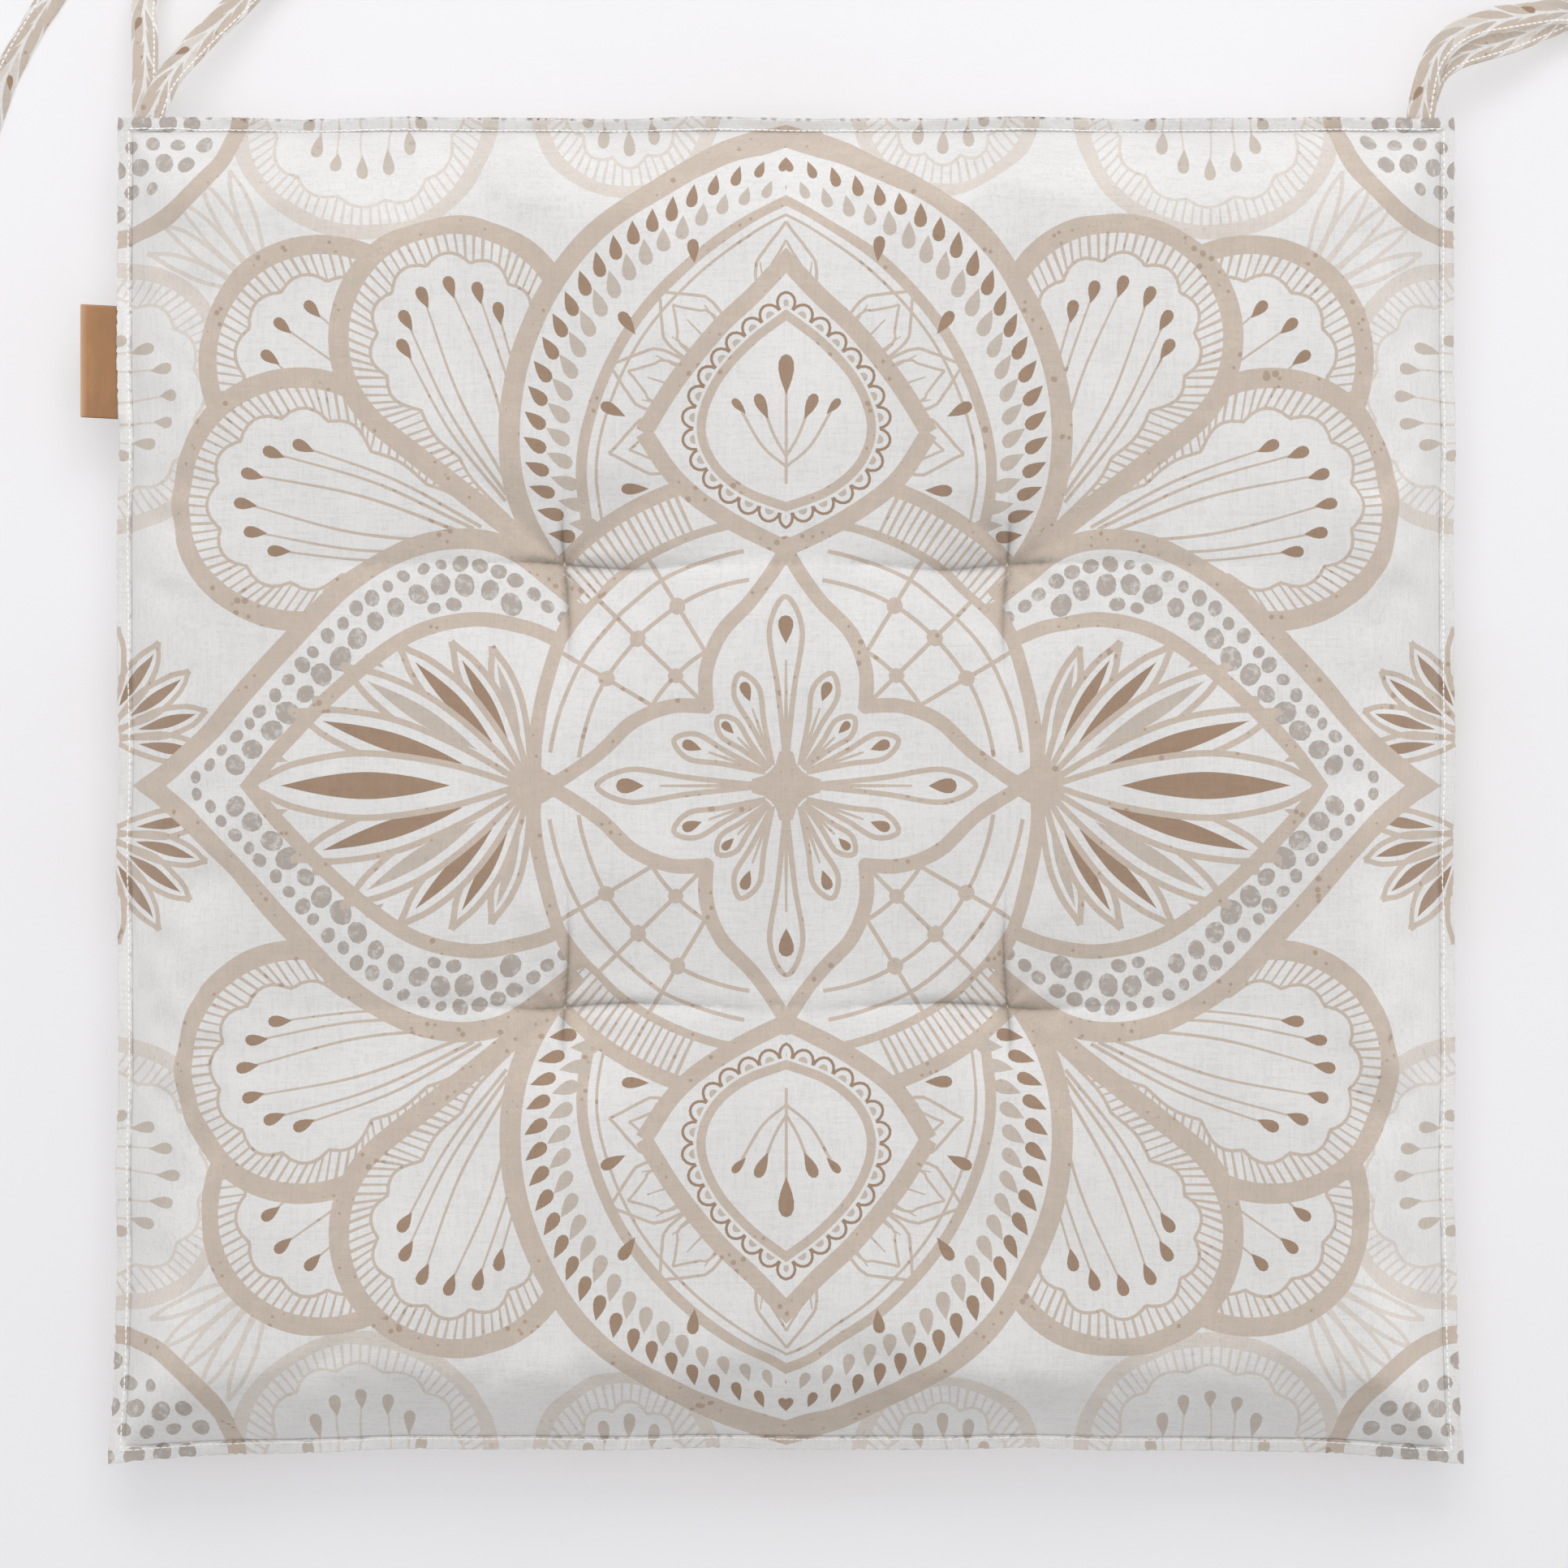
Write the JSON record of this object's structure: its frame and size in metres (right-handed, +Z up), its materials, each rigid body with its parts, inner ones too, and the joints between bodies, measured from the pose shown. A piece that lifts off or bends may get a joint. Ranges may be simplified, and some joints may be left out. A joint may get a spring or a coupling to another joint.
{
  "type": "chair seat pad",
  "caption": "Square knife-edged chair cushion with tufts, a flat stitched border, flat fabric ties at the back corners and a leather side tab.",
  "frame": {"origin": "middle of the flat underside, on the seat that the pad lies on", "axes": "+Z up out of the seat; +Y towards the back of the chair, where the ties are; +X to the right of a person sitting on it"},
  "size_m": [0.5425, 0.5134, 0.047],
  "materials": {
    "printed_cloth": "matte",
    "wadding": "matte",
    "foam": "matte",
    "sewing_thread": "satin",
    "tuft_thread": "matte",
    "tab_leather": "satin"
  },
  "bodies": {
    "pad": {"top_cover": "printed_cloth", "bottom_cover": "printed_cloth", "upper_wadding": "wadding", "lower_wadding": "wadding", "foam_core": "foam", "edge_topstitch": "sewing_thread", "edge_bobbin_thread": "sewing_thread", "edge_seam_thread": "sewing_thread", "label_tail": "tab_leather", "tuft_thread_front_left": "tuft_thread", "tuft_thread_back_left": "tuft_thread", "tuft_thread_front_right": "tuft_thread", "tuft_thread_back_right": "tuft_thread", "tie_left_lower": "printed_cloth", "tie_left_upper": "printed_cloth", "tie_right_lower": "printed_cloth", "tie_right_upper": "printed_cloth", "tie_left_lower_stitch": "sewing_thread", "tie_left_upper_stitch": "sewing_thread", "tie_right_lower_stitch": "sewing_thread", "tie_right_upper_stitch": "sewing_thread"},
    "label": {"label_loop": "tab_leather"}
  },
  "joints": [
    {"name": "label_flap", "type": "hinge", "parent": "pad", "child": "label", "pos_m": [-0.2015, 0.127, 0.02], "axis": [0, 1, 0], "range_deg": [-60, 60], "stiffness_Nm_per_rad": 0.02}
  ]
}
